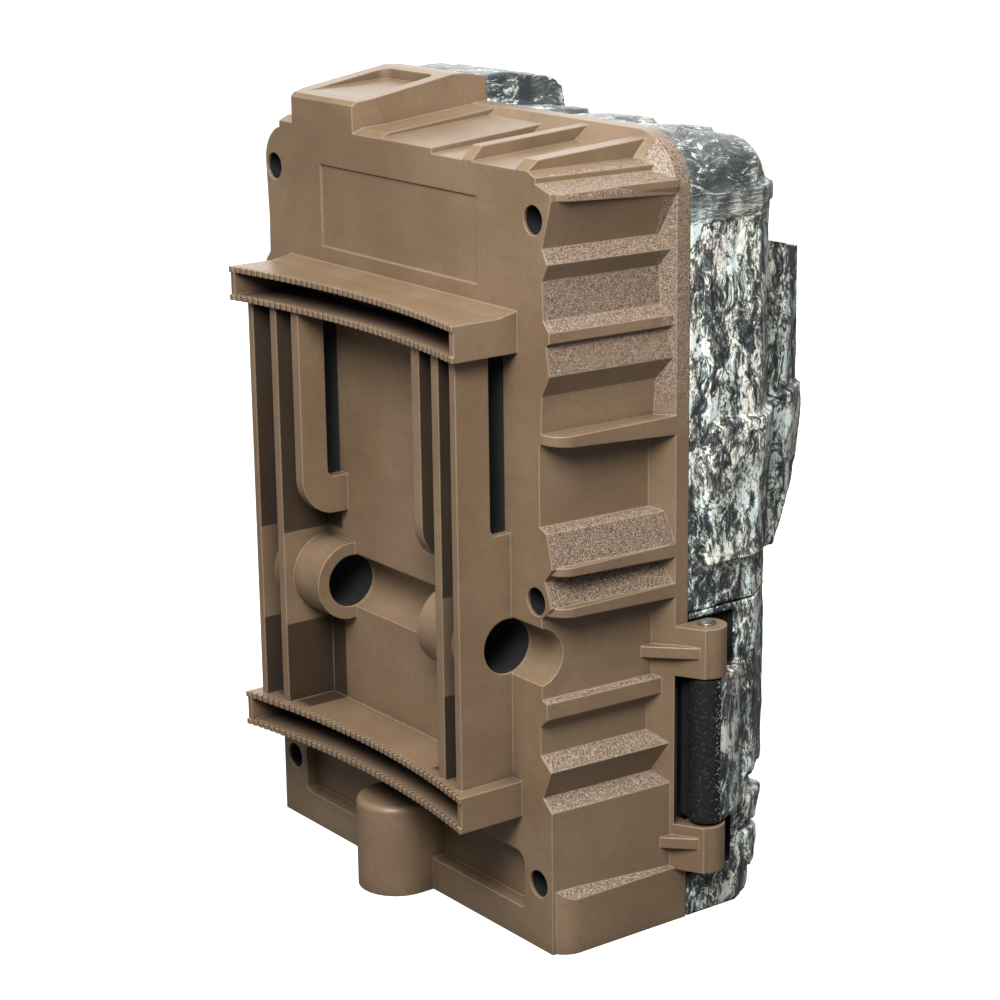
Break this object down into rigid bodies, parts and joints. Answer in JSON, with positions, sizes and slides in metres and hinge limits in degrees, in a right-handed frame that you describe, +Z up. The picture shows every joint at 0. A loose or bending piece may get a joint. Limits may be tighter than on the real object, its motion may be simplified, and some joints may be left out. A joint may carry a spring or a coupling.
{
  "type": "trail camera",
  "caption": "Box-shaped trail camera: ridged rear shell with toothed tree bracket, camouflage front, side-hinged battery door, sliding battery tray, keypad and display.",
  "frame": {"origin": "centre of the tripod socket mouth, on the base plane", "axes": "+Z up, lens looks along -Y, tree bracket faces +Y, door hinge on the -X side"},
  "size_m": [0.103, 0.082, 0.1477],
  "materials": {
    "brown_plastic": "satin, fine sparkle on textured facets",
    "camo_plastic": "matte with a bark camouflage pattern",
    "black_plastic": "satin",
    "black_metal": "anodised black",
    "seal_rubber": "matte",
    "button_rubber": "soft matte",
    "cover_rubber": "soft matte",
    "key_plastic": "satin",
    "steel": "brushed",
    "plated_steel": "plated",
    "brass": "turned",
    "clear_glass": "coated",
    "dark_filter": "polished",
    "sensor_plastic": "translucent",
    "circuit_board": "solder mask",
    "chip": "moulded",
    "lamp_epoxy": "clear moulded",
    "card_plastic": "satin",
    "cell_jacket": "wrapped"
  },
  "bodies": {
    "housing": {"antenna_board": "circuit_board", "board_screws": "steel", "board_standoffs": "brass", "card_socket": "plated_steel", "case_screws": "steel", "case_seal": "seal_rubber", "control_board": "circuit_board", "control_deck": "black_plastic", "dc_jack": "black_plastic", "display_panel": "chip", "display_window": "dark_filter", "dome_switches": "plated_steel", "door_seal": "seal_rubber", "filter_mount": "black_plastic", "front_housing": "camo_plastic", "hinge_pin": "steel", "image_sensor": "chip", "ir_lamps": "lamp_epoxy", "lamp_board": "circuit_board", "lamp_window": "dark_filter", "lens_barrel": "black_metal", "lens_bezel": "black_plastic", "lens_elements": "clear_glass", "lens_window": "clear_glass", "main_board": "circuit_board", "microphone": "plated_steel", "pir_lens": "sensor_plastic", "pir_sensor": "plated_steel", "radio_module": "plated_steel", "rear_housing": "brown_plastic", "shield_can": "plated_steel", "status_lamp": "lamp_epoxy", "switch_body": "black_plastic", "tripod_insert": "brass", "usb_port": "plated_steel"},
    "door": {"door": "camo_plastic", "latch_pin": "steel"},
    "latch": {"latch_lever": "black_plastic"},
    "tray": {"battery_tray": "black_plastic", "batteries": "cell_jacket", "battery_contacts": "plated_steel"},
    "release_key": {"tray_release": "key_plastic"},
    "key_up": {"button_up": "button_rubber"},
    "key_down": {"button_down": "button_rubber"},
    "key_left": {"button_left": "button_rubber"},
    "key_right": {"button_right": "button_rubber"},
    "key_ok": {"button_ok": "button_rubber"},
    "switch_knob": {"power_switch": "black_plastic"},
    "card": {"memory_card": "card_plastic"},
    "flap": {"port_cover": "cover_rubber"},
    "filter": {"ir_cut_filter": "black_plastic"}
  },
  "joints": [
    {"name": "door_hinge", "type": "hinge", "parent": "housing", "child": "door", "pos_m": [-0.048, -0.0344, 0.0315], "axis": [0, 0, -1], "range_deg": [0, 120]},
    {"name": "latch_hinge", "type": "hinge", "parent": "door", "child": "latch", "pos_m": [0.0482, -0.0385, 0.032], "axis": [0, 0, -1], "range_deg": [0, 90]},
    {"name": "tray_slide", "type": "slide", "parent": "housing", "child": "tray", "axis": [0, -1, 0], "range_m": [0, 0.006]},
    {"name": "release_press", "type": "slide", "parent": "housing", "child": "release_key", "axis": [0, 1, 0], "range_m": [0, 0.002], "stiffness_N_per_m": 500},
    {"name": "switch_slide", "type": "slide", "parent": "housing", "child": "switch_knob", "axis": [1, 0, 0], "range_m": [0, 0.0084]},
    {"name": "card_slide", "type": "slide", "parent": "housing", "child": "card", "axis": [0, -1, 0], "range_m": [0, 0.012]},
    {"name": "flap_hinge", "type": "hinge", "parent": "housing", "child": "flap", "pos_m": [0.0422, -0.0072, 0.0844], "axis": [0, 0, 1], "range_deg": [0, 110]},
    {"name": "filter_slide", "type": "slide", "parent": "housing", "child": "filter", "axis": [1, 0, 0], "range_m": [0, 0.0045]},
    {"name": "press_up", "type": "slide", "parent": "housing", "child": "key_up", "axis": [0, 1, 0], "range_m": [0, 0.0007], "stiffness_N_per_m": 800},
    {"name": "press_down", "type": "slide", "parent": "housing", "child": "key_down", "axis": [0, 1, 0], "range_m": [0, 0.0007], "stiffness_N_per_m": 800},
    {"name": "press_left", "type": "slide", "parent": "housing", "child": "key_left", "axis": [0, 1, 0], "range_m": [0, 0.0007], "stiffness_N_per_m": 800},
    {"name": "press_right", "type": "slide", "parent": "housing", "child": "key_right", "axis": [0, 1, 0], "range_m": [0, 0.0007], "stiffness_N_per_m": 800},
    {"name": "press_ok", "type": "slide", "parent": "housing", "child": "key_ok", "axis": [0, 1, 0], "range_m": [0, 0.0007], "stiffness_N_per_m": 800}
  ]
}
